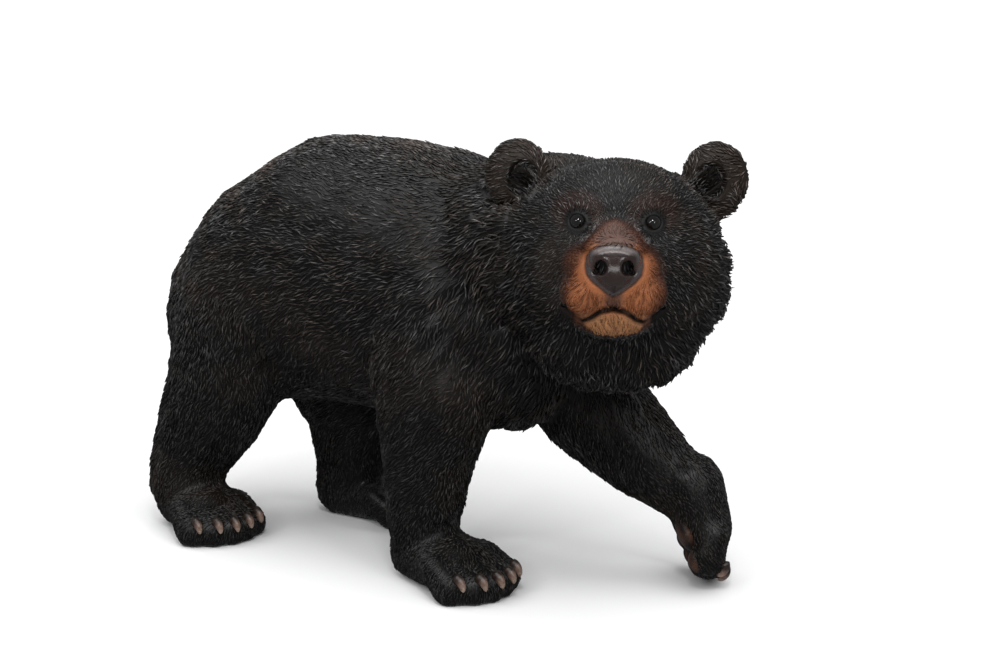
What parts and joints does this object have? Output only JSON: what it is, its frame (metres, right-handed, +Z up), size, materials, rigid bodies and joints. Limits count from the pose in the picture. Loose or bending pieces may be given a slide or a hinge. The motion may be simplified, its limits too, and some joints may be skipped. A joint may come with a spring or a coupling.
{
  "type": "walking bear statue",
  "caption": "Standing garden statue of a walking black bear in painted cast resin, head turned to its right, one forepaw lifted in mid-step.",
  "frame": {"origin": "on the ground under the middle of the statue's own box", "axes": "+X is the way the bear walks, +Y is its left side, +Z is up; the head looks between +X and -Y"},
  "size_m": [0.8124, 0.3656, 0.554],
  "materials": {
    "bear": "cast resin painted near black over carved fur, dry-brushed grey and brown, tan muzzle, satin clear coat",
    "right_eye": "glossy black glass with a dark brown ring",
    "left_eye": "glossy black glass with a dark brown ring"
  },
  "bodies": {
    "root": {"bear": "bear", "right_eye": "right_eye", "left_eye": "left_eye"}
  },
  "joints": []
}
